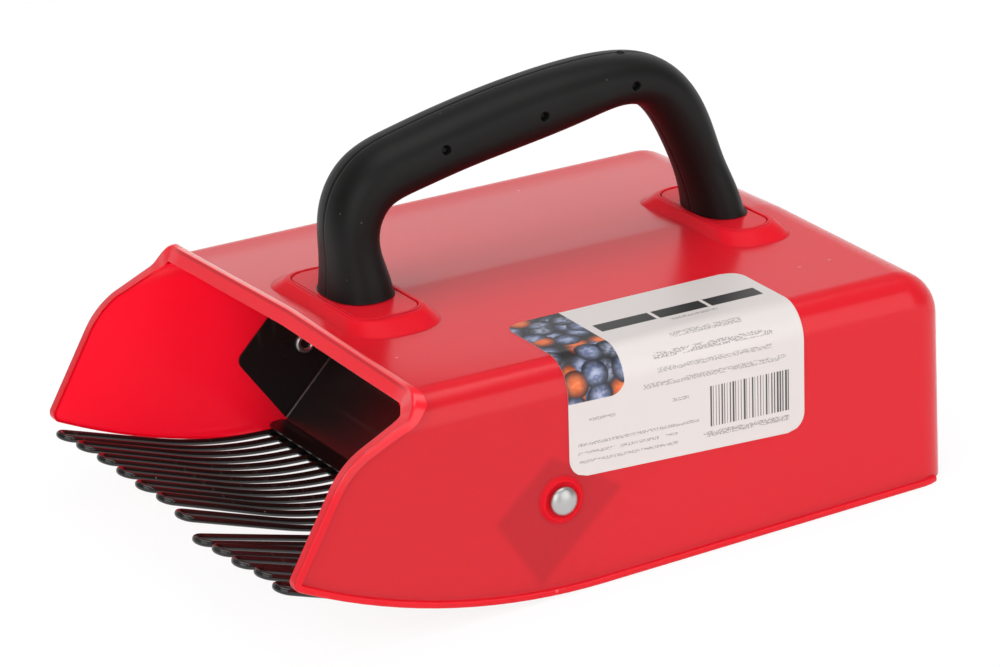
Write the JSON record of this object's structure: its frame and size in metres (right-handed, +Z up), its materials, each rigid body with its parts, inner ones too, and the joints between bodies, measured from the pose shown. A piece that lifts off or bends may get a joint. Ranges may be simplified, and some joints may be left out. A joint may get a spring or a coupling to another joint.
{
  "type": "berry picking rake",
  "caption": "Hand rake for picking berries: a moulded hood with an arched grip over a comb of wire hairpins, a steel ramp and a bin.",
  "frame": {"origin": "middle of the footprint, on the surface that the side walls' bottom edges stand on", "axes": "+Z up, -Y forwards, the way the comb points, +X to the labelled side, which is the left side for the person who holds the rake"},
  "size_m": [0.185, 0.233, 0.1332],
  "materials": {
    "red_plastic": "satin injection moulded, slightly translucent",
    "soft_grip": "matt overmoulded soft grip",
    "black_steel": "satin black powder coat",
    "black_wire": "gloss black dip coat",
    "bright_steel": "zinc plated",
    "label": "satin film"
  },
  "bodies": {
    "root": {"hood": "red_plastic", "handle_core": "red_plastic", "handle_grip": "soft_grip", "handle_screw_front": "bright_steel", "handle_screw_rear": "bright_steel", "ramp_plate": "black_steel", "floor_plate": "black_steel", "hairpin_01": "black_wire", "hairpin_02": "black_wire", "hairpin_03": "black_wire", "hairpin_04": "black_wire", "hairpin_05": "black_wire", "hairpin_06": "black_wire", "hairpin_07": "black_wire", "hairpin_08": "black_wire", "hairpin_09": "black_wire", "hairpin_10": "black_wire", "hairpin_11": "black_wire", "hairpin_12": "black_wire", "side_rivet_left": "bright_steel", "side_rivet_right": "bright_steel", "rear_rivet_left": "bright_steel", "rear_rivet_right": "bright_steel", "label": "label"}
  },
  "joints": []
}
